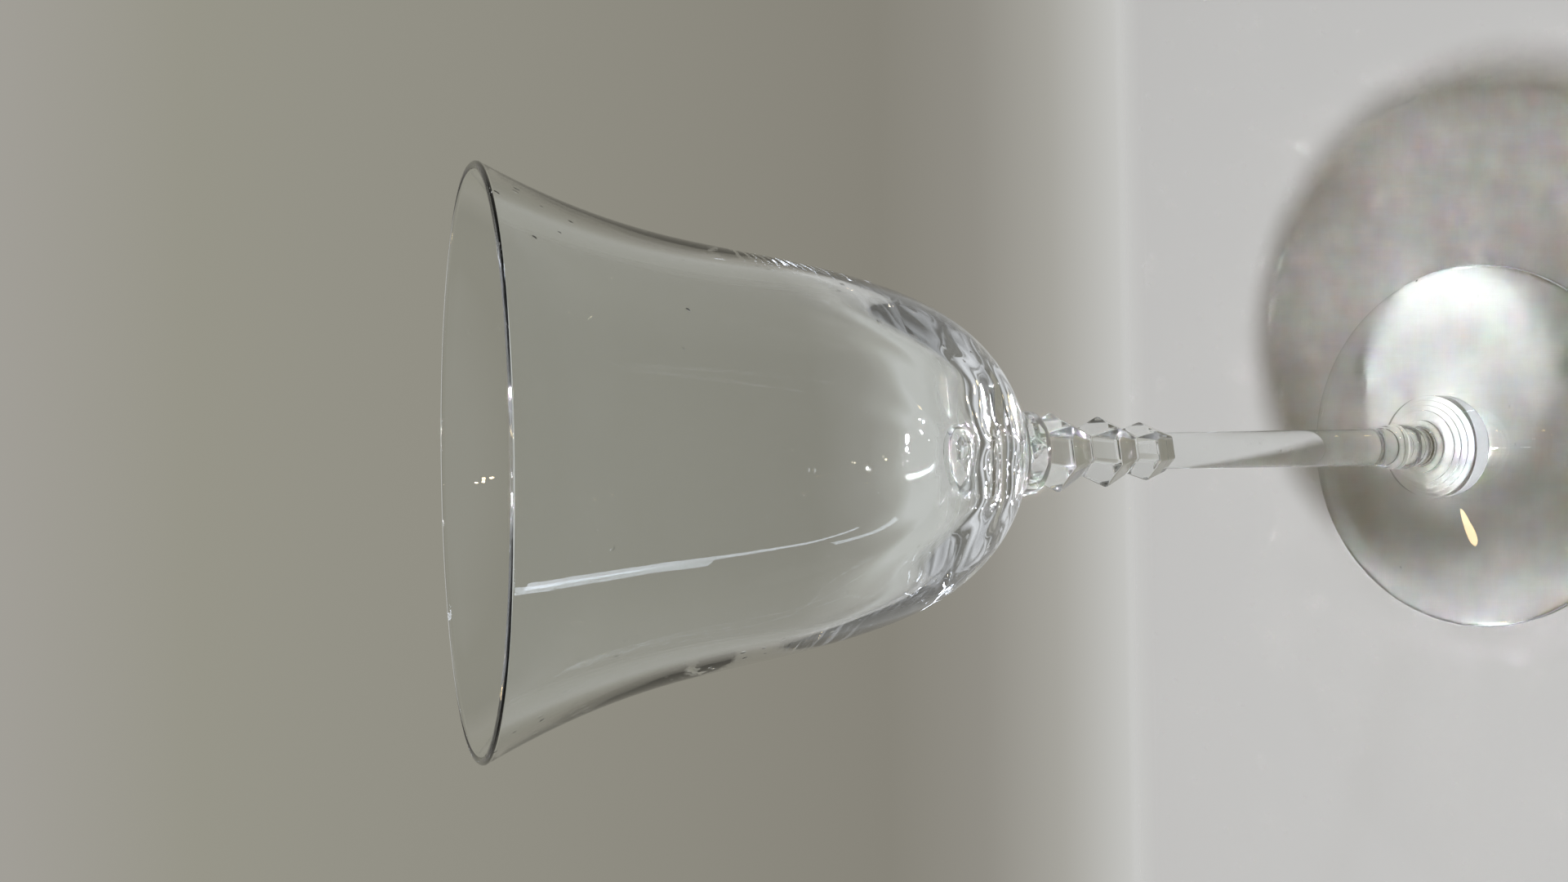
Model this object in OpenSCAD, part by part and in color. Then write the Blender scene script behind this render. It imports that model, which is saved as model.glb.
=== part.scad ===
// A stemmed drinking glass, blown and pressed as one piece. A deep tulip bowl
// stands on a round collar, a column of cut beads and a plain round stem. The
// stem ends in a stepped knop on a thin round foot.
// The glass stands on Z = 0 with its axis on Z. A bead corner points along +X.

/* [Foot] */
// Diameter of the foot
foot_d = 74; // [60:1:90]
// Thickness of the foot at its edge
foot_edge_t = 1.8; // [1.2:0.1:3]
// Height of the foot's upper face where the knop begins
foot_rise = 6.4; // [4:0.1:9]
// How far out from the knop the foot's upper face pulls down in a sweep
foot_sweep = 15; // [8:0.5:18]
// Depth of the hollow under the foot
foot_hollow = 2; // [0.6:0.1:2.4]
// Width of the flat ring that the glass stands on
standing_w = 4; // [2:0.5:8]

/* [Knop] */
// Diameter of the knop at the foot
knop_d = 20.8; // [17:0.1:26]
// Height of the knop's plain wall above the foot
knop_wall_h = 4.1; // [2:0.1:8]
// Number of fine steps above the wall
knop_steps = 3; // [1:1:4]
// Width of each fine step
step_w = 1; // [0.6:0.1:1.2]
// Height of each fine step
step_h = 0.6; // [0.4:0.1:1.2]
// Height of the cove between the steps and the bulb
cove_h = 3.2; // [2:0.1:6]
// Diameter of the low step that the cove stands on
cove_d = 10.8; // [9.6:0.1:11.6]
// Diameter of the narrowest part of the cove
cove_neck_d = 7.6; // [6.4:0.1:8.4]
// Diameter of the bulb round the foot of the stem
bulb_d = 9; // [8.2:0.1:11]
// Height of that bulb
bulb_h = 7.7; // [5:0.1:10]

/* [Stem] */
// Diameter of the stem at the knop
stem_low_d = 7.4; // [6:0.1:9]
// Diameter of the stem under the beads
stem_top_d = 6.6; // [5:0.1:7.2]
// Length of the plain stem between the knop and the beads
stem_l = 54.3; // [30:0.1:80]

/* [Beads] */
// Number of flat faces round each bead
bead_sides = 6; // [6:2:10]
// Width of the lowest bead across its corners
low_bead_w = 10.9; // [9:0.1:13]
// Width of the middle bead across its corners
mid_bead_w = 13; // [10:0.1:15]
// Width of the highest bead across its corners
top_bead_w = 14.3; // [11:0.1:16]
// Height of the lowest bead
low_bead_h = 8.3; // [6:0.1:12]
// Height of the middle bead
mid_bead_h = 9.7; // [6:0.1:12]
// Height of the highest bead
top_bead_h = 10.3; // [6:0.1:12]
// Width across the corners where the beads meet the stem
stem_neck_w = 7.8; // [7.4:0.1:8.6]
// Width across the corners between the lowest and the middle bead
low_neck_w = 8.2; // [7.4:0.1:8.8]
// Width across the corners between the middle and the highest bead
mid_neck_w = 8.6; // [7.4:0.1:9.4]
// Width across the corners where the beads meet the collar
top_neck_w = 9.4; // [7.6:0.1:10.4]

/* [Collar] */
// Diameter of the collar under the bowl
collar_d = 14.6; // [12:0.1:18]
// Height of the collar
collar_h = 5.1; // [3:0.1:8]
// Rounding of the collar's lower edge
collar_round = 0.6; // [0.2:0.1:1.5]

/* [Bowl] */
// Diameter of the bowl over the rim
rim_d = 84; // [74:1:96]
// Height of the bowl from the collar to the rim
bowl_h = 89.1; // [75:0.1:110]
// Outer diameter at the waist, where the belly turns into the flare
waist_d = 63.4; // [56:0.1:72]
// Height of the waist above the collar
waist_h = 49.1; // [42:0.1:58]
// Slope of the bowl's underside where it leaves the collar
under_angle = 29.4; // [20:0.1:45]
// Slope of the wall at the waist, where 90 is upright
waist_angle = 82.5; // [78:0.1:88]
// Slope of the wall at the rim, where 90 is upright
rim_angle = 65.2; // [60:0.1:80]
// Pull of the underside on the curve of the belly
under_pull = 18.3; // [12:0.1:22]
// Pull of the waist on the curve of the belly
belly_pull = 31.6; // [24:0.1:36]
// Pull of the waist on the curve of the flare
flare_pull = 9.3; // [5:0.1:14]
// Pull of the rim on the curve of the flare
rim_pull = 19; // [10:0.1:22]

/* [Walls] */
// Thickness of the wall at the rim
rim_t = 1.2; // [0.9:0.1:2]
// Thickness of the wall at the waist
waist_t = 1.8; // [1.2:0.1:2.6]
// Thickness of the glass between the collar and the bottom of the hollow
base_t = 6.8; // [4:0.1:10]
// Pull of the flat bottom on the curve of the hollow
hollow_pull = 20; // [10:0.1:22]
// Pull of the waist on the curve of the hollow
hollow_side_pull = 24; // [20:0.1:32]

/* [Hidden] */
$fn = 144;

// Number of straight stretches in each long curve and in each small rounding
curve_steps = 22;
round_steps = 6;
// How far the beads' column is let into the collar
column_seat = 0.8;

bead_w = [low_bead_w, mid_bead_w, top_bead_w];
bead_h = [low_bead_h, mid_bead_h, top_bead_h];
neck_w = [stem_neck_w, low_neck_w, mid_neck_w, top_neck_w];

// Heights above the table, each from the piece below
knop_step_z = foot_rise + knop_wall_h;
knop_top_z = knop_step_z + knop_steps * step_h;
bulb_z = knop_top_z + cove_h;
stem_z = bulb_z + bulb_h;
beads_z = stem_z + stem_l;
neck_z = [beads_z, beads_z + bead_h[0], beads_z + bead_h[0] + bead_h[1],
          beads_z + bead_h[0] + bead_h[1] + bead_h[2]];
collar_z = neck_z[3];
bowl_z = collar_z + collar_h;
waist_z = bowl_z + waist_h;
rim_z = bowl_z + bowl_h;
hollow_z = bowl_z + base_t;

// A cubic curve from a to d, with b and c as its handles
function curve(a, b, c, d, steps = curve_steps) =
    [for (i = [0 : steps]) let (t = i / steps, u = 1 - t)
        u * u * u * a + 3 * u * u * t * b + 3 * u * t * t * c + t * t * t * d];

// An arc about a centre, from one angle to another
function arc(centre, radius, from, to, steps = round_steps) =
    [for (i = [0 : steps]) centre + radius * heading(from + (to - from) * i / steps)];

// A step of length one in a direction given as a slope
function heading(angle) = [cos(angle), sin(angle)];

// Distance from the axis to a flat face, from the width across the corners
function flat_distance(across_corners) = across_corners / 2 * cos(180 / bead_sides);

// The foot from the axis outwards, round its edge and in to the knop
function foot_outline() =
    let (edge_r = foot_edge_t / 2,
         edge_x = foot_d / 2 - edge_r,
         stand_x = edge_x - standing_w,
         top_w = edge_x - knop_d / 2)
    concat(
        curve([0, foot_hollow], [stand_x / 2, foot_hollow], [stand_x * 0.8, foot_hollow / 4], [stand_x, 0]),
        arc([edge_x, edge_r], edge_r, -90, 90),
        curve([edge_x, foot_edge_t], [edge_x - top_w * 0.2, foot_edge_t + 0.2],
              [knop_d / 2 + foot_sweep, foot_edge_t], [knop_d / 2, foot_rise]));

// The knop: a plain wall, fine steps that climb inwards, a low step, a cove and a bulb
function knop_outline() =
    let (step_r = min(step_w, step_h) / 3,
         neck = cove_neck_d / 2,
         cove_low = [cove_d / 2 - step_w, knop_top_z + step_h],
         bulb_pull = (bulb_d / 2 - (neck + stem_low_d / 2) / 8) / 0.75)
    concat(
        [for (i = [0 : knop_steps]) let (x = knop_d / 2 - i * step_w, z = knop_step_z + i * step_h)
            each arc([x - step_r, z - step_r], step_r, 0, 90)],
        [[cove_d / 2, knop_top_z]],
        arc([cove_d / 2 - step_r, cove_low.y - step_r], step_r, 0, 90),
        curve(cove_low, [neck, cove_low.y], [neck, bulb_z - cove_h / 3], [neck, bulb_z], round_steps * 2),
        curve([neck, bulb_z], [bulb_pull, bulb_z], [bulb_pull, stem_z], [stem_low_d / 2, stem_z],
              round_steps * 2));

// The stem, its core inside the beads, and the collar
function stem_outline() =
    concat(
        [[stem_top_d / 2, beads_z], [stem_top_d / 2, collar_z]],
        arc([collar_d / 2 - collar_round, collar_z + collar_round], collar_round, -90, 0));

// The outer side of the bowl, from the collar to the rim
function bowl_outside() =
    let (start = [collar_d / 2, bowl_z], waist = [waist_d / 2, waist_z],
         rim = [rim_d / 2, rim_z - rim_t / 2])
    concat(
        curve(start, start + under_pull * heading(under_angle),
              waist - belly_pull * heading(waist_angle), waist),
        curve(waist, waist + flare_pull * heading(waist_angle),
              rim - rim_pull * heading(rim_angle), rim));

// The hollow of the bowl, from the rim down to the axis
function bowl_inside() =
    let (start = [0, hollow_z], waist = [waist_d / 2 - waist_t, waist_z],
         rim = [rim_d / 2 - rim_t, rim_z - rim_t / 2])
    concat(
        curve(rim, rim - rim_pull * heading(rim_angle),
              waist + flare_pull * heading(waist_angle), waist),
        curve(waist, waist - hollow_side_pull * heading(waist_angle),
              start + [hollow_pull, 0], start));

// The rim, rounded over in the fire
function rim_outline() = arc([rim_d / 2 - rim_t / 2, rim_z - rim_t / 2], rim_t / 2, 0, 180);

// Everything that is round about the axis
module turned_body()
    rotate_extrude()
        polygon(concat(foot_outline(), knop_outline(), stem_outline(),
                       bowl_outside(), rim_outline(), bowl_inside()));

// The zigzag of necks and girdles on one side of the column
function column_side() =
    concat(
        [for (i = [0 : len(bead_w) - 1])
            each [[flat_distance(neck_w[i]), neck_z[i]],
                  [flat_distance(bead_w[i]), (neck_z[i] + neck_z[i + 1]) / 2]]],
        [[flat_distance(neck_w[3]), neck_z[3]], [flat_distance(neck_w[3]), neck_z[3] + column_seat]]);

// A bar across the glass that carries two opposite faces of every bead
module cut_bar() {
    side = column_side();
    mirrored = [for (i = [len(side) - 1 : -1 : 0]) [-side[i].x, side[i].y]];
    rotate([90, 0, 0])
        linear_extrude(height = 2 * max(bead_w), center = true)
            polygon(concat(side, mirrored));
}

// The column of beads, left where the bars of all its faces cross
module beads()
    intersection_for (i = [0 : bead_sides / 2 - 1])
        rotate([0, 0, (i + 0.5) * 360 / bead_sides])
            cut_bar();

module stemmed_glass()
    color([0.86, 0.89, 0.88])
        union() {
            turned_body();
            beads();
        }

stemmed_glass();
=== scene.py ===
"""Dresses a stemmed drinking glass and sets it on a plain table for its picture.

The glass is blown and pressed in one piece, so its visible form is one closed skin. The skin is laid out as
rows that run round the axis: up the outside from the foot to the rim, and down the inside of the bowl. Sizes
are in millimetres and angles in degrees, until a point becomes part of the mesh.
"""

import logging
import math
from dataclasses import dataclass, field
from enum import Enum

import bpy
from mathutils import Matrix, Vector


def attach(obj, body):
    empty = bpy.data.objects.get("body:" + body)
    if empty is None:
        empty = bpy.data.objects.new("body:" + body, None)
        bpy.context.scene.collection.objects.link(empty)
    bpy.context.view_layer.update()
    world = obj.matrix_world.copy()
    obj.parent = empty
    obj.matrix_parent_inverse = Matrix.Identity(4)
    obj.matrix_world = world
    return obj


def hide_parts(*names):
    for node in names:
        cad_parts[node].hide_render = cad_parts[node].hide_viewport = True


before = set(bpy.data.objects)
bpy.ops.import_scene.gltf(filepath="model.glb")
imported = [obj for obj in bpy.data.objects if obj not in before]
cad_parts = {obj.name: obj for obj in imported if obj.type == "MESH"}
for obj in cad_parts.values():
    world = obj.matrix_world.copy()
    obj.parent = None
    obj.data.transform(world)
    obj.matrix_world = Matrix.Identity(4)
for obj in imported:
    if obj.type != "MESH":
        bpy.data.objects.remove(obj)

MM = 0.001
NODE = "stemmed_glass"
BODY = "root"

# How far round from the glass's front the photo's camera stands. The table, the backdrop and the lamps are
# placed as that camera sees them: x to its right, y away from it, z up.
VIEW_TURN = -10.0

# How often light may bounce. Inside the rim's near edge it is reflected many times before it comes out, and
# with fewer bounces that edge turns black.
ALL_BOUNCES = 64
INNER_REFLECTIONS = 50

log = logging.getLogger("stemmed_glass")

Point = tuple[float, float]
Place = tuple[float, float, float]


class Section(Enum):
    """How a row runs round the axis."""

    ROUND = "round"
    FACETED = "faceted"


@dataclass(frozen=True)
class Row:
    """One row of the skin.

    reach is the radius of a round row, or the distance from the axis to a flat face of a faceted one. lean is
    how far the top of a rib is moved, outwards and upwards.
    """

    reach: float
    z: float
    section: Section = Section.ROUND
    lean: Point = (0.0, 0.0)


def heading(slope: float) -> Vector:
    """Gives the direction of a line of that slope in the plane of an outline."""
    return Vector((math.cos(math.radians(slope)), math.sin(math.radians(slope))))


def eased(share: float) -> float:
    """Bends a share from 0 to 1 so that it starts and ends level."""
    return share**2 * (3 - 2 * share)


def curve(a: Point, b: Point, c: Point, d: Point, steps: int) -> list[Point]:
    """Walks along a cubic curve.

    Args:
        a: Where the curve starts.
        b: The handle at the start.
        c: The handle at the end.
        d: Where the curve ends.
        steps: How many stretches the curve is divided into.

    Returns:
        The points after the first, up to and including the end.
    """
    a, b, c, d = Vector(a), Vector(b), Vector(c), Vector(d)
    points = []
    for i in range(1, steps + 1):
        t = i / steps
        u = 1 - t
        points.append(tuple(u**3 * a + 3 * u * u * t * b + 3 * u * t * t * c + t**3 * d))
    return points


def arc(centre: Point, radius: float, start: float, end: float, steps: int) -> list[Point]:
    """Walks along an arc.

    Args:
        centre: The middle of the arc.
        radius: Its radius.
        start: The angle that it starts at.
        end: The angle that it ends at.
        steps: How many stretches the arc is divided into.

    Returns:
        The points from the first to the last.
    """
    turn = end - start
    return [tuple(Vector(centre) + radius * heading(start + turn * i / steps)) for i in range(steps + 1)]


def line(a: Point, b: Point, steps: int) -> list[Point]:
    """Walks along a straight line and gives the points after the first."""
    return [tuple(Vector(a).lerp(Vector(b), i / steps)) for i in range(1, steps + 1)]


def softened(corners: list[Point], cut: float, steps: int) -> list[Point]:
    """Rounds the corners of an open outline.

    Args:
        corners: The corners, the two ends included.
        cut: How far from its corner a rounding starts.
        steps: How many stretches each rounding is divided into.

    Returns:
        The two ends and the points of every rounding between them.
    """
    points = [tuple(corners[0])]
    for before, corner, after in zip(corners, corners[1:], corners[2:]):
        corner = Vector(corner)
        start = corner + (Vector(before) - corner).normalized() * cut
        end = corner + (Vector(after) - corner).normalized() * cut
        for i in range(steps + 1):
            t = i / steps
            points.append(tuple((1 - t) ** 2 * start + 2 * t * (1 - t) * corner + t * t * end))
    points.append(tuple(corners[-1]))
    return points


def round_rows(points: list[Point]) -> list[Row]:
    """Turns the points of an outline into round rows."""
    return [Row(x, z) for x, z in points]


@dataclass
class Foot:
    """The thin round foot, with the slight hollow under it and the ring that it stands on.

    sweep is how far out from the knop the upper face bends up to it. The handles are shares of the width that
    their curve spans.
    """

    diameter: float = 74.0
    edge_thickness: float = 1.8
    rise: float = 6.4
    sweep: float = 15.0
    hollow: float = 2.0
    standing_width: float = 4.0
    hollow_handle: float = 0.8
    top_handle: float = 0.2
    top_lift: float = 0.2
    under_steps: int = 22
    stand_steps: int = 3
    edge_steps: int = 12
    top_steps: int = 36

    def rows(self, knop_radius: float) -> list[Row]:
        """Lays out the foot.

        Args:
            knop_radius: Where the foot's upper face meets the knop.

        Returns:
            The rows from near the axis underneath, round the edge and in to the knop.
        """
        edge_radius = self.edge_thickness / 2
        edge_x = self.diameter / 2 - edge_radius
        stand_x = edge_x - self.standing_width
        top_width = edge_x - knop_radius
        under = curve(
            (0, self.hollow),
            (stand_x / 2, self.hollow),
            (stand_x * self.hollow_handle, self.hollow / 4),
            (stand_x, 0),
            self.under_steps,
        )
        # The edge's arc starts with the last point of the standing ring, so the ring leaves it out.
        standing = line((stand_x, 0), (edge_x, 0), self.stand_steps)[:-1]
        edge = arc((edge_x, edge_radius), edge_radius, -90, 90, self.edge_steps)
        top = curve(
            (edge_x, self.edge_thickness),
            (edge_x - top_width * self.top_handle, self.edge_thickness + self.top_lift),
            (knop_radius + self.sweep, self.edge_thickness),
            (knop_radius, self.rise),
            self.top_steps,
        )
        return round_rows(under + standing + edge + top)


@dataclass
class Knop:
    """The stepped knop on the foot: a plain wall, fine steps, a ledge, a cove and the bulb under the stem."""

    diameter: float = 20.8
    wall_height: float = 4.1
    steps: int = 3
    step_width: float = 1.0
    step_height: float = 0.6
    cove_height: float = 3.2
    ledge_diameter: float = 10.8
    neck_diameter: float = 7.6
    bulb_diameter: float = 9.0
    bulb_height: float = 7.7
    corner_steps: int = 5
    cove_steps: int = 14
    bulb_steps: int = 24

    @property
    def radius(self) -> float:
        """Radius of the knop at the foot."""
        return self.diameter / 2

    def height(self) -> float:
        """Height of the knop from the foot's upper face to the stem."""
        return self.wall_height + self.steps * self.step_height + self.cove_height + self.bulb_height

    def rows(self, foot_z: float, stem_radius: float) -> list[Row]:
        """Lays out the knop.

        Args:
            foot_z: Height of the foot's upper face at the knop.
            stem_radius: Radius of the stem where the knop ends.

        Returns:
            The rows from the foot's face up to the stem.
        """
        edge = min(self.step_width, self.step_height) / 3
        step_z = foot_z + self.wall_height
        top_z = step_z + self.steps * self.step_height
        bulb_z = top_z + self.cove_height
        stem_z = bulb_z + self.bulb_height
        neck = self.neck_diameter / 2
        ledge_x = self.ledge_diameter / 2
        ledge_z = top_z + self.step_height
        points = []
        for i in range(self.steps + 1):
            x = self.radius - i * self.step_width
            z = step_z + i * self.step_height
            points += arc((x - edge, z - edge), edge, 0, 90, self.corner_steps)
        points.append((ledge_x, top_z))
        points += arc((ledge_x - edge, ledge_z - edge), edge, 0, 90, self.corner_steps)
        points.append((ledge_x - self.step_width, ledge_z))
        cove_pull = bulb_z - self.cove_height / 3
        points += curve(points[-1], (neck, ledge_z), (neck, cove_pull), (neck, bulb_z), self.cove_steps)
        # The middle of a cubic curve is an eighth of each end and three quarters of its handles, so with this
        # pull the bulb is as wide there as its diameter says.
        pull = (self.bulb_diameter / 2 - (neck + stem_radius) / 8) / 0.75
        points += curve(points[-1], (pull, bulb_z), (pull, stem_z), (stem_radius, stem_z), self.bulb_steps)
        return round_rows(points)


@dataclass
class Stem:
    """The plain round stem between the knop and the beads."""

    low_diameter: float = 7.4
    top_diameter: float = 6.6
    length: float = 54.3
    steps: int = 12

    def rows(self, low_z: float) -> list[Row]:
        """Lays out the stem.

        Args:
            low_z: Height where the stem starts.

        Returns:
            The rows from the knop up to the beads.
        """
        low = (self.low_diameter / 2, low_z)
        top = (self.top_diameter / 2, low_z + self.length)
        return round_rows(line(low, top, self.steps))


@dataclass
class Beads:
    """The column of cut beads, each with a ring of flat faces above its widest part and one below.

    Widths are measured across the corners. edge_cut softens the level edges between the rings of faces, and
    corner_radius the upright ones between two faces of a ring.
    """

    sides: int = 6
    widths: tuple[float, ...] = (10.9, 13.0, 14.3)
    heights: tuple[float, ...] = (8.3, 9.7, 10.3)
    neck_widths: tuple[float, ...] = (7.8, 8.2, 8.6, 9.4)
    edge_cut: float = 0.4
    edge_steps: int = 3
    corner_radius: float = 0.5

    def flat_distance(self, across_corners: float) -> float:
        """Gives the distance from the axis to a flat face, from the width across the corners."""
        return across_corners / 2 * math.cos(math.pi / self.sides)

    def rows(self, low_z: float) -> list[Row]:
        """Lays out the beads.

        Args:
            low_z: Height of their lower end.

        Returns:
            The rows from the stem up to the collar.
        """
        z = low_z
        corners = [(self.flat_distance(self.neck_widths[0]), z)]
        for width, height, neck in zip(self.widths, self.heights, self.neck_widths[1:]):
            corners.append((self.flat_distance(width), z + height / 2))
            z += height
            corners.append((self.flat_distance(neck), z))
        outline = softened(corners, self.edge_cut, self.edge_steps)
        return [Row(flat, row_z, Section.FACETED) for flat, row_z in outline]

    def reach(self, flat: float, angle: float) -> float:
        """Gives how far a faceted row stands from the axis.

        Args:
            flat: The row's distance from the axis to a flat face.
            angle: The direction, in radians, where zero is a corner.

        Returns:
            The distance from the axis, with the corners slightly rounded.
        """
        half = math.pi / self.sides
        radius = self.corner_radius
        from_corner = abs((angle + half) % (2 * half) - half)
        middle = (flat - radius) / math.cos(half)
        tangent = math.atan2(radius * math.sin(half), middle + radius * math.cos(half))
        if from_corner >= tangent:
            return flat / math.cos(half - from_corner)
        across = middle * math.sin(from_corner)
        return middle * math.cos(from_corner) + math.sqrt(radius**2 - across**2)


@dataclass
class Collar:
    """The round collar that carries the bowl."""

    diameter: float = 14.6
    height: float = 5.1
    rounding: float = 0.6
    edge_steps: int = 8
    wall_steps: int = 4

    def rows(self, low_z: float) -> list[Row]:
        """Lays out the collar's lower edge and wall.

        Args:
            low_z: Height of its underside.

        Returns:
            The rows from the underside up to the bowl.
        """
        edge_x = self.diameter / 2 - self.rounding
        edge = arc((edge_x, low_z + self.rounding), self.rounding, -90, 0, self.edge_steps)
        return round_rows(edge + line(edge[-1], (self.diameter / 2, low_z + self.height), self.wall_steps))


@dataclass
class Optic:
    """The soft upright ribs that an optic mould leaves inside a blown bowl.

    They are deepest low in the belly. They fade out towards the rim, over rim_fade and by its power, and
    towards the axis, over axis_fade. first_rib is the direction of one of them.
    """

    ribs: int = 12
    first_rib: float = 11.0
    depth: float = 0.35
    rim_fade: float = 80.0
    rim_fade_power: float = 2.0
    axis_fade: float = 30.0

    def share(self, angle: float) -> float:
        """Gives how much of a rib stands at that angle, in radians, from 0 between two ribs to 1 on one."""
        return 0.5 + 0.5 * math.cos(self.ribs * (angle - math.radians(self.first_rib)))

    def ribbed(self, points: list[Point]) -> list[Row]:
        """Turns an outline into rows that carry the ribs.

        Args:
            points: The inside of the bowl, from the rim down to the axis.

        Returns:
            The rows, each with its lean at the top of a rib, square to the wall.
        """
        rows = []
        rim_z = points[0][1]
        for i, (x, z) in enumerate(points):
            before = Vector(points[max(i - 1, 0)])
            after = Vector(points[min(i + 1, len(points) - 1)])
            along = (after - before).normalized()
            from_rim = min(1.0, (rim_z - z) / self.rim_fade)
            from_axis = min(1.0, x / self.axis_fade)
            depth = self.depth * from_rim**self.rim_fade_power * eased(from_axis)
            rows.append(Row(x, z, lean=(depth * along.y, -depth * along.x)))
        return rows


@dataclass
class Bowl:
    """The tulip bowl: a round belly, a waist, a flared rim and the hollow inside.

    Slopes are those of the outline, and a pull is how far the curve follows its slope.
    """

    rim_diameter: float = 84.0
    height: float = 89.1
    waist_diameter: float = 63.4
    waist_height: float = 49.1
    under_slope: float = 29.4
    waist_slope: float = 82.5
    rim_slope: float = 65.2
    under_pull: float = 18.3
    belly_pull: float = 31.6
    flare_pull: float = 9.3
    rim_pull: float = 19.0
    rim_thickness: float = 1.2
    waist_thickness: float = 1.8
    base_thickness: float = 6.8
    hollow_pull: float = 20.0
    hollow_side_pull: float = 24.0
    belly_steps: int = 56
    flare_steps: int = 30
    rim_steps: int = 12
    optic: Optic = field(default_factory=Optic)

    def outside(self, low_z: float, collar_radius: float) -> list[Row]:
        """Lays out the outer side.

        Args:
            low_z: Height where the bowl leaves the collar.
            collar_radius: The collar's radius there.

        Returns:
            The rows from the collar to the rim.
        """
        start = Vector((collar_radius, low_z))
        waist = Vector((self.waist_diameter / 2, low_z + self.waist_height))
        rim = Vector((self.rim_diameter / 2, low_z + self.height - self.rim_thickness / 2))
        belly = curve(
            start,
            start + self.under_pull * heading(self.under_slope),
            waist - self.belly_pull * heading(self.waist_slope),
            waist,
            self.belly_steps,
        )
        flare = curve(
            waist,
            waist + self.flare_pull * heading(self.waist_slope),
            rim - self.rim_pull * heading(self.rim_slope),
            rim,
            self.flare_steps,
        )
        # The rim's arc starts with the last point of the flare, so the flare leaves it out.
        return round_rows(belly + flare[:-1])

    def rim(self, low_z: float) -> list[Row]:
        """Lays out the rim, rounded over in the fire.

        Args:
            low_z: Height where the bowl leaves the collar.

        Returns:
            The rows from the outer side over to the inner one.
        """
        half = self.rim_thickness / 2
        centre = (self.rim_diameter / 2 - half, low_z + self.height - half)
        return round_rows(arc(centre, half, 0, 180, self.rim_steps))

    def hollow(self, low_z: float) -> list[Row]:
        """Lays out the inside.

        Args:
            low_z: Height where the bowl leaves the collar.

        Returns:
            The rows from the rim down to the axis, with the ribs.
        """
        base = Vector((0, low_z + self.base_thickness))
        waist = Vector((self.waist_diameter / 2 - self.waist_thickness, low_z + self.waist_height))
        rim_x = self.rim_diameter / 2 - self.rim_thickness
        rim = Vector((rim_x, low_z + self.height - self.rim_thickness / 2))
        flare = curve(
            rim,
            rim - self.rim_pull * heading(self.rim_slope),
            waist + self.flare_pull * heading(self.waist_slope),
            waist,
            self.flare_steps,
        )
        belly = curve(
            waist,
            waist - self.hollow_side_pull * heading(self.waist_slope),
            base + Vector((self.hollow_pull, 0)),
            base,
            self.belly_steps,
        )
        return self.optic.ribbed(flare + belly)


def hex_to_linear(code: str) -> tuple[float, float, float, float]:
    """Turns an sRGB colour into the linear colour that a shader takes.

    Args:
        code: The colour, such as #A0B0C0.

    Returns:
        Red, green, blue and an alpha of 1.
    """
    parts = [int(code.lstrip("#")[i : i + 2], 16) / 255 for i in (0, 2, 4)]
    linear = [c / 12.92 if c <= 0.04045 else ((c + 0.055) / 1.055) ** 2.4 for c in parts]
    return (*linear, 1.0)


def empty_tree(owner: bpy.types.Material | bpy.types.World) -> bpy.types.NodeTree:
    """Turns on the nodes of a new material or world and clears them.

    Args:
        owner: The material or world.

    Returns:
        Its empty node tree.
    """
    owner.use_nodes = True
    owner.node_tree.nodes.clear()
    return owner.node_tree


def add_node(tree: bpy.types.NodeTree, kind: str, settings: dict, links: dict) -> bpy.types.Node:
    """Adds a node with its settings and links.

    Args:
        tree: The node tree that gets it.
        kind: The node's type, such as ShaderNodeTexNoise.
        settings: Values by name: a socket's name or number, or else one of the node's own properties.
        links: Sockets of other nodes by the name or number of the input that each one feeds.

    Returns:
        The new node.
    """
    node = tree.nodes.new(kind)
    for name, value in settings.items():
        if isinstance(name, int) or name in node.inputs:
            node.inputs[name].default_value = value
        else:
            setattr(node, name, value)
    for name, source in links.items():
        tree.links.new(source, node.inputs[name])
    return node


def fill_ramp(ramp: bpy.types.ColorRamp, stops: list[tuple[float, tuple[float, ...]]]) -> None:
    """Sets the stops of a colour ramp.

    Args:
        ramp: The ramp, which has two stops to begin with.
        stops: Place and linear colour of each stop, in rising order.
    """
    while len(ramp.elements) < len(stops):
        ramp.elements.new(1.0)
    for element, (place, colour) in zip(ramp.elements, stops):
        element.position = place
        element.color = colour


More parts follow.
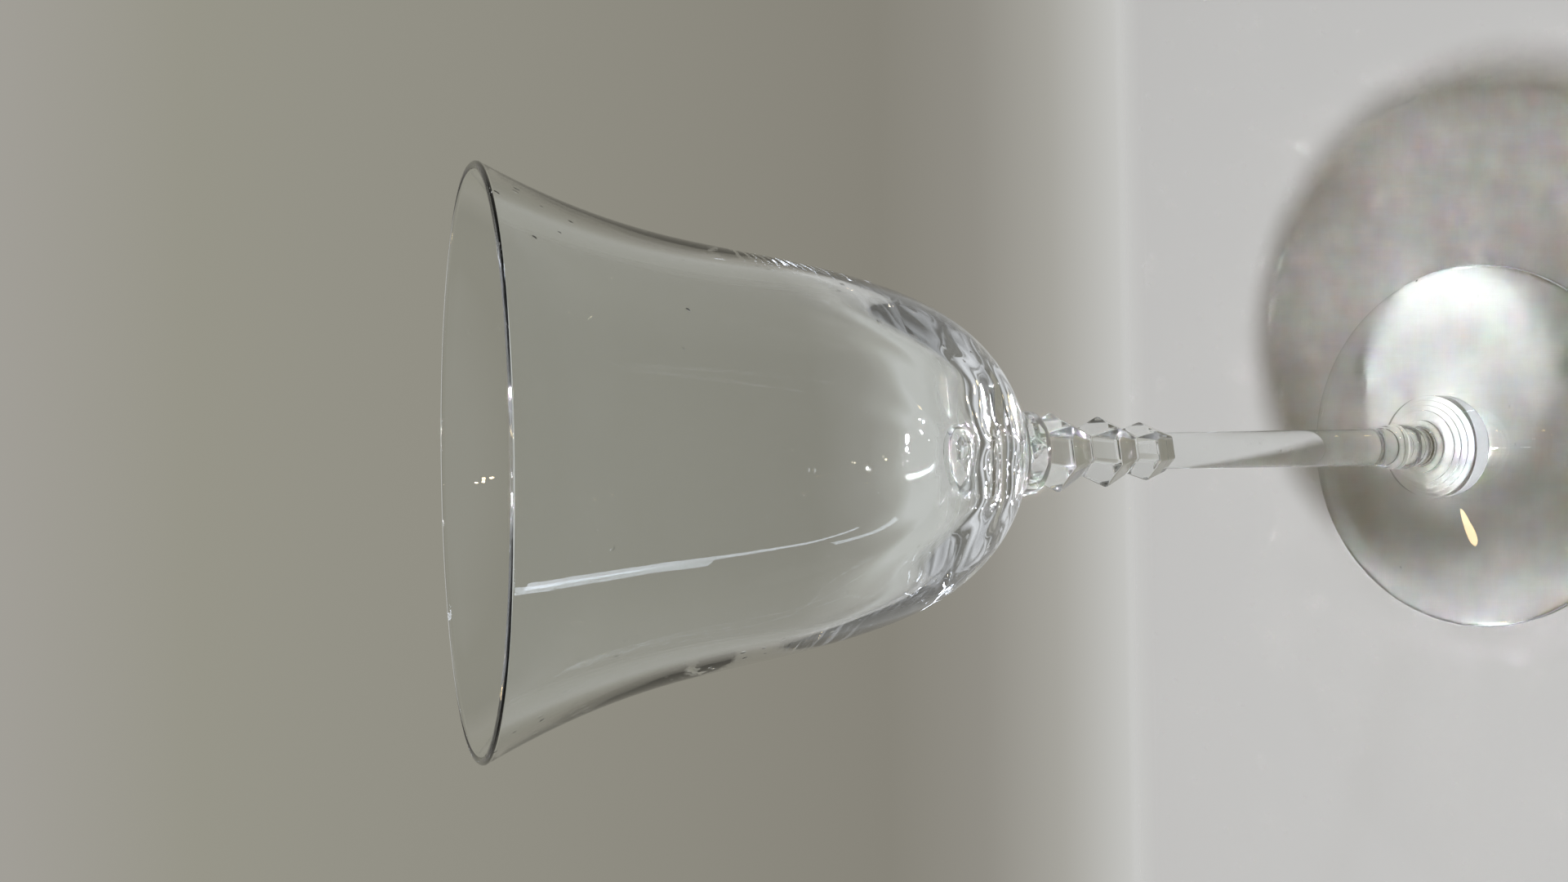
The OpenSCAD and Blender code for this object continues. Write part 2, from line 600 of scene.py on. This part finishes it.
@dataclass(frozen=True)
class ClearGlass:
    """Clear glass, blown, pressed and fire-polished.

    Glass that has been through the fire has a hard bright gloss and no grain. What tells it from a perfect
    form is a slow waviness left by the blowing and fine upright lines drawn by the mould, a faint film here
    and there that softens the gloss, and a few small drops that dried on it.

    A noise range gives the two values of a noise, from 0 to 1, between which its pattern comes in.
    """

    tint: str = "#FAFCFB"
    ior: float = 1.54

    # The waviness and the lines keep the reflections from running as ruled edges.
    wave_mm: float = 14.0
    wave_height_mm: float = 0.006
    line_width_mm: float = 3.5
    line_length_mm: float = 45.0
    line_height_mm: float = 0.004

    # The film takes the edge off a reflection in patches.
    film_mm: float = 9.0
    film_noise: Point = (0.55, 0.8)
    film_roughness: float = 0.025

    # The drops catch the light as small specks, in groups about drop_group spacings across. drop_dome is the
    # share of a drop's radius that stands at its full height.
    drop_mm: float = 0.5
    drop_spacing_mm: float = 3.2
    drop_group: float = 8.0
    drop_noise: Point = (0.41, 0.45)
    drop_dome: float = 0.3
    drop_height_mm: float = 0.06
    drop_roughness: float = 0.16

    def material(self) -> bpy.types.Material:
        """Makes the material.

        Returns:
            The material, with its gloss and relief.
        """
        made = bpy.data.materials.new("clear_fire_polished_glass")
        tree = empty_tree(made)
        place = add_node(tree, "ShaderNodeTexCoord", {}, {}).outputs["Object"]
        drops = self.drops(tree, place)
        shader = add_node(
            tree,
            "ShaderNodeBsdfPrincipled",
            {
                "Base Color": hex_to_linear(self.tint),
                "Metallic": 0.0,
                "IOR": self.ior,
                "Transmission Weight": 1.0,
            },
            {"Roughness": self.gloss(tree, place, drops), "Normal": self.relief(tree, place, drops)},
        )
        add_node(tree, "ShaderNodeOutputMaterial", {}, {"Surface": shader.outputs["BSDF"]})
        return made

    def drops(self, tree: bpy.types.NodeTree, place: bpy.types.NodeSocket) -> bpy.types.NodeSocket:
        """Adds small dried drops, which stand together here and there.

        Args:
            tree: The material's node tree.
            place: The socket that gives the place on the glass.

        Returns:
            The socket that is 1 in the middle of a drop and 0 beside it.
        """
        spots = add_node(
            tree,
            "ShaderNodeTexVoronoi",
            {"Scale": 1 / (self.drop_spacing_mm * MM), "Randomness": 1.0},
            {"Vector": place},
        )
        gathered = add_node(
            tree,
            "ShaderNodeTexNoise",
            {"Scale": 1 / (self.drop_group * self.drop_spacing_mm * MM), "Detail": 0.0},
            {"Vector": place},
        )
        chance = add_node(
            tree,
            "ShaderNodeMath",
            {"operation": "MULTIPLY"},
            {0: spots.outputs["Color"], 1: gathered.outputs["Fac"]},
        )
        none, full = self.drop_noise
        present = add_node(
            tree,
            "ShaderNodeMapRange",
            {"From Min": none, "From Max": full},
            {"Value": chance.outputs["Value"]},
        )
        edge = self.drop_mm / self.drop_spacing_mm
        dome = add_node(
            tree,
            "ShaderNodeMapRange",
            {"interpolation_type": "SMOOTHSTEP", "From Min": edge, "From Max": self.drop_dome * edge},
            {"Value": spots.outputs["Distance"]},
        )
        drop = add_node(
            tree,
            "ShaderNodeMath",
            {"operation": "MULTIPLY"},
            {0: present.outputs["Result"], 1: dome.outputs["Result"]},
        )
        return drop.outputs["Value"]

    def gloss(
        self, tree: bpy.types.NodeTree, place: bpy.types.NodeSocket, drops: bpy.types.NodeSocket
    ) -> bpy.types.NodeSocket:
        """Works out the roughness, which is zero apart from the film and the drops.

        Args:
            tree: The material's node tree.
            place: The socket that gives the place on the glass.
            drops: The socket that is 1 on a drop.

        Returns:
            The socket that gives the roughness.
        """
        film = add_node(
            tree,
            "ShaderNodeTexNoise",
            {"Scale": 1 / (self.film_mm * MM), "Detail": 4.0, "Roughness": 0.6},
            {"Vector": place},
        )
        none, full = self.film_noise
        film_gloss = add_node(
            tree,
            "ShaderNodeMapRange",
            {"From Min": none, "From Max": full, "To Min": 0.0, "To Max": self.film_roughness},
            {"Value": film.outputs["Fac"]},
        )
        gloss = add_node(
            tree,
            "ShaderNodeMath",
            {"operation": "MULTIPLY_ADD", 1: self.drop_roughness},
            {0: drops, 2: film_gloss.outputs["Result"]},
        )
        return gloss.outputs["Value"]

    def relief(
        self, tree: bpy.types.NodeTree, place: bpy.types.NodeSocket, drops: bpy.types.NodeSocket
    ) -> bpy.types.NodeSocket:
        """Adds up the heights of the waves, the lines and the drops, in millimetres, and bends the surface.

        Args:
            tree: The material's node tree.
            place: The socket that gives the place on the glass.
            drops: The socket that is 1 on a drop.

        Returns:
            The socket that gives the surface's direction.
        """
        waves = add_node(
            tree,
            "ShaderNodeTexNoise",
            {"Scale": 1 / (self.wave_mm * MM), "Detail": 1.0, "Roughness": 0.4},
            {"Vector": place},
        )
        across, along = 1 / (self.line_width_mm * MM), 1 / (self.line_length_mm * MM)
        drawn = add_node(tree, "ShaderNodeMapping", {"Scale": (across, across, along)}, {"Vector": place})
        lines = add_node(
            tree,
            "ShaderNodeTexNoise",
            {"Scale": 1.0, "Detail": 1.0, "Roughness": 0.5},
            {"Vector": drawn.outputs["Vector"]},
        )
        height = add_node(
            tree,
            "ShaderNodeMath",
            {"operation": "MULTIPLY", 1: self.wave_height_mm},
            {0: waves.outputs["Fac"]},
        )
        for source, rise in ((lines.outputs["Fac"], self.line_height_mm), (drops, self.drop_height_mm)):
            height = add_node(
                tree,
                "ShaderNodeMath",
                {"operation": "MULTIPLY_ADD", 1: rise},
                {0: source, 2: height.outputs["Value"]},
            )
        bump = add_node(
            tree,
            "ShaderNodeBump",
            {"Strength": 1.0, "Distance": MM},
            {"Height": height.outputs["Value"]},
        )
        return bump.outputs["Normal"]


@dataclass
class StemmedGlass:
    """The whole glass, from its parts to the dressed piece.

    Each row has stretches_per_side points for each side of a bead, and crowding, from 0 to 1, draws them
    towards the beads' corners. An edge sharper than sharp_angle stays crisp.
    """

    foot: Foot = field(default_factory=Foot)
    knop: Knop = field(default_factory=Knop)
    stem: Stem = field(default_factory=Stem)
    beads: Beads = field(default_factory=Beads)
    collar: Collar = field(default_factory=Collar)
    bowl: Bowl = field(default_factory=Bowl)
    finish: ClearGlass = field(default_factory=ClearGlass)
    stretches_per_side: int = 42
    crowding: float = 0.5
    sharp_angle: float = 40.0

    def angles(self) -> list[float]:
        """Spaces the points of a row.

        Returns:
            Their directions, in radians, crowded towards the corners of the beads.
        """
        side = 2 * math.pi / self.beads.sides
        shares = [i / self.stretches_per_side for i in range(self.stretches_per_side)]
        crowded = [u - self.crowding * math.sin(2 * math.pi * u) / (2 * math.pi) for u in shares]
        return [side * (k + u) for k in range(self.beads.sides) for u in crowded]

    def rows(self) -> list[Row]:
        """Lays out the whole skin.

        Returns:
            The rows from under the foot, up the outside and down into the bowl.
        """
        knop_z = self.foot.rise
        stem_z = knop_z + self.knop.height()
        beads_z = stem_z + self.stem.length
        collar_z = beads_z + sum(self.beads.heights)
        bowl_z = collar_z + self.collar.height
        return (
            self.foot.rows(self.knop.radius)
            + self.knop.rows(knop_z, self.stem.low_diameter / 2)
            + self.stem.rows(stem_z)
            + self.beads.rows(beads_z)
            + self.collar.rows(collar_z)
            + self.bowl.outside(bowl_z, self.collar.diameter / 2)
            + self.bowl.rim(bowl_z)
            + self.bowl.hollow(bowl_z)
        )

    def vertex(self, row: Row, angle: float) -> Place:
        """Places a point of a row.

        Args:
            row: The row.
            angle: The point's direction, in radians.

        Returns:
            The point, in metres.
        """
        rib = self.bowl.optic.share(angle)
        if row.section is Section.FACETED:
            reach = self.beads.reach(row.reach, angle)
        else:
            reach = row.reach + rib * row.lean[0]
        z = row.z + rib * row.lean[1]
        return (reach * math.cos(angle) * MM, reach * math.sin(angle) * MM, z * MM)

    def faces(self, rings: int, count: int) -> list[tuple[int, ...]]:
        """Joins the points of the skin.

        Args:
            rings: How many rows run round the axis.
            count: How many points each of them has.

        Returns:
            A fan of triangles round each end of the axis, and the quads between neighbouring rows.
        """
        last = rings * count + 1
        faces = []
        for j in range(count):
            k = (j + 1) % count
            faces.append((0, 1 + k, 1 + j))
            faces.append((last, last - count + j, last - count + k))
        for i in range(rings - 1):
            low = 1 + i * count
            for j in range(count):
                k = (j + 1) % count
                faces.append((low + j, low + k, low + count + k, low + count + j))
        return faces

    def mesh(self) -> bpy.types.Mesh:
        """Builds the skin as one closed mesh.

        Returns:
            The mesh, with one point on the axis at each end.
        """
        *rings, end = self.rows()
        angles = self.angles()
        under, floor = (0.0, 0.0, self.foot.hollow * MM), (0.0, 0.0, end.z * MM)
        vertices = [under, *(self.vertex(row, angle) for row in rings for angle in angles), floor]
        mesh = bpy.data.meshes.new("glass_skin")
        mesh.from_pydata(vertices, [], self.faces(len(rings), len(angles)))
        mesh.validate()
        mesh.shade_smooth()
        mesh.set_sharp_from_angle(angle=math.radians(self.sharp_angle))
        return mesh

    def build(self) -> bpy.types.Object:
        """Builds the glass, dresses it and puts it in the place of its CAD solid.

        Returns:
            The glass.
        """
        piece = bpy.data.objects.new("glass", self.mesh())
        bpy.context.scene.collection.objects.link(piece)
        even = piece.modifiers.new("even_shading", "WEIGHTED_NORMAL")
        even.keep_sharp = True
        piece.data.materials.append(self.finish.material())
        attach(piece, BODY)
        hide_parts(NODE)
        return piece


def facing() -> Matrix:
    """Gives the turn from the camera's view of the scene to the glass's own axes."""
    return Matrix.Rotation(math.radians(VIEW_TURN), 4, "Z")


@dataclass(frozen=True)
class PhotoCamera:
    """The camera of the reference picture, which was held on its side."""

    distance_mm: float = 168.9
    height_mm: float = 218.4
    pitch: float = 21.655
    yaw: float = 0.853
    roll: float = -0.615
    lens_mm: float = 26.36
    sensor_mm: float = 36.0
    nearest_mm: float = 10.0

    def build(self) -> bpy.types.Object:
        """Makes the camera and gives it to the scene.

        Returns:
            The camera.
        """
        pitch, yaw, roll = (math.radians(a) for a in (self.pitch, self.yaw, self.roll))
        forward = Vector(
            (math.sin(yaw) * math.cos(pitch), math.cos(yaw) * math.cos(pitch), -math.sin(pitch))
        )
        side = Vector((math.cos(yaw), -math.sin(yaw), 0))
        up = side.cross(forward)
        level = math.cos(roll) * side + math.sin(roll) * up
        upright = math.cos(roll) * up - math.sin(roll) * side
        axes = Matrix((-upright, level, -forward)).transposed().to_4x4()
        place = Matrix.Translation(Vector((0, -self.distance_mm, self.height_mm)) * MM)
        data = bpy.data.cameras.new("photo_camera")
        data.lens = self.lens_mm
        data.sensor_width = self.sensor_mm
        data.clip_start = self.nearest_mm * MM
        camera = bpy.data.objects.new("photo_camera", data)
        camera.matrix_world = facing() @ place @ axes
        bpy.context.scene.collection.objects.link(camera)
        bpy.context.scene.camera = camera
        return camera


class LampFace(Enum):
    """The shape of a lamp's face, by Blender's name for it."""

    DISC = "DISK"
    STRIP = "RECTANGLE"


@dataclass(frozen=True)
class Lamp:
    """A soft lamp: where it hangs, how large its face is, what it gives and which point it faces."""

    name: str
    place: Place
    size: Point
    watts: float
    colour: str
    face: LampFace = LampFace.DISC
    target: Place = (0.0, 0.0, 0.0)

    def build(self) -> bpy.types.Object:
        """Hangs the lamp. The camera doesn't see it, but the glass shows it.

        Returns:
            The lamp.
        """
        data = bpy.data.lights.new(self.name, "AREA")
        data.shape = self.face.value
        data.size, data.size_y = (side * MM for side in self.size)
        data.energy = self.watts
        data.color = hex_to_linear(self.colour)[:3]
        spot = Vector(self.place) * MM
        back = spot - Vector(self.target) * MM
        lamp = bpy.data.objects.new(self.name, data)
        aim = back.to_track_quat("Z", "Y").to_matrix().to_4x4()
        lamp.matrix_world = facing() @ Matrix.Translation(spot) @ aim
        lamp.visible_camera = False
        bpy.context.scene.collection.objects.link(lamp)
        return lamp


@dataclass(frozen=True)
class MattLaminate:
    """Pale laminate with a matt pressed face.

    It spreads the light evenly, so the glass stands on a plain tone with its shadow and no mirror image. Far
    from the glass, and along the table's back edge, it passes softly into the backdrop.
    """

    colour: str = "#C9C9C7"
    roughness: float = 0.6
    fade_mm: Point = (330.0, 900.0)
    back_fade_mm: float = 12.0

    def material(self, back_mm: float) -> bpy.types.Material:
        """Makes the material.

        Args:
            back_mm: How far behind the glass the table's back edge lies.

        Returns:
            The material, with its fades.
        """
        made = bpy.data.materials.new("matt_laminate")
        tree = empty_tree(made)
        place = add_node(tree, "ShaderNodeTexCoord", {}, {}).outputs["Object"]
        distance = add_node(tree, "ShaderNodeVectorMath", {"operation": "LENGTH"}, {0: place})
        near, far = self.fade_mm
        round_fade = add_node(
            tree,
            "ShaderNodeMapRange",
            {"interpolation_type": "SMOOTHSTEP", "From Min": far * MM, "From Max": near * MM},
            {"Value": distance.outputs["Value"]},
        )
        along = add_node(tree, "ShaderNodeSeparateXYZ", {}, {"Vector": place})
        back_fade = add_node(
            tree,
            "ShaderNodeMapRange",
            {"From Min": back_mm * MM, "From Max": (back_mm - self.back_fade_mm) * MM},
            {"Value": along.outputs["Y"]},
        )
        alpha = add_node(
            tree,
            "ShaderNodeMath",
            {"operation": "MULTIPLY"},
            {0: round_fade.outputs["Result"], 1: back_fade.outputs["Result"]},
        )
        shader = add_node(
            tree,
            "ShaderNodeBsdfPrincipled",
            {"Base Color": hex_to_linear(self.colour), "Roughness": self.roughness},
            {"Alpha": alpha.outputs["Value"]},
        )
        add_node(tree, "ShaderNodeOutputMaterial", {}, {"Surface": shader.outputs["BSDF"]})
        return made


@dataclass
class Table:
    """The table top. A small gap under the glass keeps their faces from lying in one place."""

    back_mm: float = 110.0
    reach_mm: float = 1500.0
    air_gap_mm: float = 0.05
    finish: MattLaminate = field(default_factory=MattLaminate)

    def build(self) -> bpy.types.Object:
        """Makes the table top, whose far edge lies behind the glass.

        Returns:
            The table top.
        """
        reach, back, low = self.reach_mm * MM, self.back_mm * MM, -self.air_gap_mm * MM
        corners = [(-reach, -reach, low), (reach, -reach, low), (reach, back, low), (-reach, back, low)]
        mesh = bpy.data.meshes.new("table_top")
        mesh.from_pydata(corners, [], [(0, 1, 2, 3)])
        mesh.materials.append(self.finish.material(self.back_mm))
        top = bpy.data.objects.new("table_top", mesh)
        top.matrix_world = facing()
        bpy.context.scene.collection.objects.link(top)
        return top


@dataclass(frozen=True)
class Backdrop:
    """The backdrop, with the room's light and shade painted into its tones as the camera and the glass see
    them, and its soft fill light.

    Each tone stands at a slope: how far a line of sight rises for each step away from the camera, below zero
    where it falls. So a tone runs straight across the picture, as on a flat backdrop. least_away keeps the
    slope from growing without end to the sides. From the photo's side, the tones above slope 0.3 show only in
    the glass. near_side_strength dims what the glass reflects of the camera's own side of the room, and
    near_side_range is where that sets in, from the camera's side to the far one.
    """

    # These tones paint the room's light and shade. The backdrop is lightest where it meets the table, darkest
    # a little above that, and lighter again higher up. Over the glass lie a painted dark band and then a
    # painted bright band, which only the glass shows and which lights nothing.
    tones: tuple[tuple[float, str], ...] = (
        (-0.79, "#C5C5C2"),
        (-0.70, "#A6A49D"),
        (-0.61, "#918E86"),
        (-0.50, "#87847A"),
        (0.00, "#949287"),
        (0.10, "#979589"),
        (0.23, "#A29F98"),
        (0.46, "#6B6A64"),
        (0.93, "#6B6A64"),
        (1.25, "#E0E2E6"),
        (1.62, "#E0E2E6"),
        (1.85, "#8F8E88"),
    )
    least_away: float = 0.5
    near_side_strength: float = 0.42
    near_side_range: Point = (-0.3, 0.3)
    fill: str = "#FFEDB8"
    fill_strength: float = 0.13

    def tone(
        self, tree: bpy.types.NodeTree, direction: bpy.types.NodeSocket, away: bpy.types.NodeSocket
    ) -> bpy.types.NodeSocket:
        """Picks the tone for a line of sight.

        Args:
            tree: The world's node tree.
            direction: The socket that gives the line's direction.
            away: The socket that gives how much of it points away from the camera.

        Returns:
            The socket that gives the colour.
        """
        height = add_node(tree, "ShaderNodeSeparateXYZ", {}, {"Vector": direction})
        depth = add_node(tree, "ShaderNodeMath", {"operation": "MAXIMUM", 1: self.least_away}, {0: away})
        slope = add_node(
            tree,
            "ShaderNodeMath",
            {"operation": "DIVIDE"},
            {0: height.outputs["Z"], 1: depth.outputs["Value"]},
        )
        low, high = self.tones[0][0], self.tones[-1][0]
        share = add_node(
            tree,
            "ShaderNodeMapRange",
            {"From Min": low, "From Max": high},
            {"Value": slope.outputs["Value"]},
        )
        tone = add_node(tree, "ShaderNodeValToRGB", {}, {"Fac": share.outputs["Result"]})
        stops = [((place - low) / (high - low), hex_to_linear(code)) for place, code in self.tones]
        fill_ramp(tone.color_ramp, stops)
        return tone.outputs["Color"]

    def strength(
        self, tree: bpy.types.NodeTree, path: bpy.types.Node, away: bpy.types.NodeSocket
    ) -> bpy.types.NodeSocket:
        """Makes the room darker on the camera's side, for light that the glass reflects.

        Args:
            tree: The world's node tree.
            path: The node that tells how the light came.
            away: The socket that gives how much of the line points away from the camera.

        Returns:
            The socket that gives the backdrop's strength.
        """
        near, far = self.near_side_range
        shade = add_node(
            tree,
            "ShaderNodeMapRange",
            {"From Min": near, "From Max": far, "To Min": self.near_side_strength, "To Max": 1.0},
            {"Value": away},
        )
        straight = add_node(
            tree,
            "ShaderNodeMath",
            {"operation": "LESS_THAN", 1: 0.5},
            {0: path.outputs["Glossy Depth"]},
        )
        strength = add_node(
            tree,
            "ShaderNodeMath",
            {"operation": "MAXIMUM"},
            {0: shade.outputs["Result"], 1: straight.outputs["Value"]},
        )
        return strength.outputs["Value"]

    def build(self) -> bpy.types.World:
        """Makes the world: the tones for what is seen, and the even fill for what lights the table.

        Returns:
            The world.
        """
        world = bpy.data.worlds.new("backdrop")
        tree = empty_tree(world)
        path = add_node(tree, "ShaderNodeLightPath", {}, {})
        direction = add_node(tree, "ShaderNodeTexCoord", {}, {}).outputs["Generated"]
        away = add_node(
            tree,
            "ShaderNodeVectorMath",
            {"operation": "DOT_PRODUCT", 1: facing() @ Vector((0, 1, 0))},
            {0: direction},
        ).outputs["Value"]
        seen = add_node(
            tree,
            "ShaderNodeBackground",
            {},
            {"Color": self.tone(tree, direction, away), "Strength": self.strength(tree, path, away)},
        )
        fill = add_node(
            tree,
            "ShaderNodeBackground",
            {"Color": hex_to_linear(self.fill), "Strength": self.fill_strength},
            {},
        )
        shown = add_node(
            tree,
            "ShaderNodeMixShader",
            {},
            {0: path.outputs["Diffuse Depth"], 1: seen.outputs[0], 2: fill.outputs[0]},
        )
        add_node(tree, "ShaderNodeOutputWorld", {}, {"Surface": shown.outputs[0]})
        bpy.context.scene.world = world
        return world


@dataclass
class Studio:
    """The pale table, the backdrop with its painted light and shade, and the soft lamps."""

    table: Table = field(default_factory=Table)
    backdrop: Backdrop = field(default_factory=Backdrop)
    lamps: tuple[Lamp, ...] = (
        Lamp("main_lamp", (-106.0, -12.0, 1000.0), (48.0, 48.0), 7.7, "#F6F8FF"),
        Lamp("second_lamp", (-40.0, 20.0, 1000.0), (24.0, 24.0), 0.2, "#F1F4FF"),
        Lamp("right_lamp", (170.0, 20.0, 1000.0), (24.0, 24.0), 0.2, "#F1F4FF"),
        Lamp("warm_lamp", (-455.0, 507.0, 733.0), (60.0, 60.0), 0.16, "#FFDFA8"),
        Lamp("rear_lamp_low", (150.0, -947.0, 890.0), (18.0, 18.0), 0.04, "#FFE9C4"),
        Lamp("rear_lamp_high", (183.0, -940.0, 935.0), (18.0, 18.0), 0.05, "#FFE9C4"),
        Lamp(
            "window_strip",
            (945.0, -326.0, 320.0),
            (70.0, 600.0),
            1.05558,
            "#E6EEFF",
            LampFace.STRIP,
            (0.0, 0.0, 160.0),
        ),
    )

    def build(self) -> None:
        """Sets up the table, the backdrop, the lamps and how far the renderer follows the light."""
        self.table.build()
        self.backdrop.build()
        for lamp in self.lamps:
            lamp.build()
        scene = bpy.context.scene
        scene.view_settings.view_transform = "Standard"
        scene.cycles.max_bounces = ALL_BOUNCES
        scene.cycles.transmission_bounces = ALL_BOUNCES
        scene.cycles.glossy_bounces = INNER_REFLECTIONS
        # The lamps' light that the glass gathers on the table is kept, and neither dimmed nor blurred.
        scene.cycles.sample_clamp_indirect = 0.0
        scene.cycles.blur_glossy = 0.0


def main() -> None:
    """Builds the glass, the camera and the studio, and logs the glass's face count and the camera's place."""
    logging.basicConfig(level=logging.INFO, format="%(message)s")
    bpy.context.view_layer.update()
    glass = StemmedGlass().build()
    log.info("glass: %d faces", len(glass.data.polygons))
    camera = PhotoCamera().build()
    log.info("camera at %s", [round(x, 4) for x in camera.location])
    Studio().build()


if __name__ == "__main__":
    main()
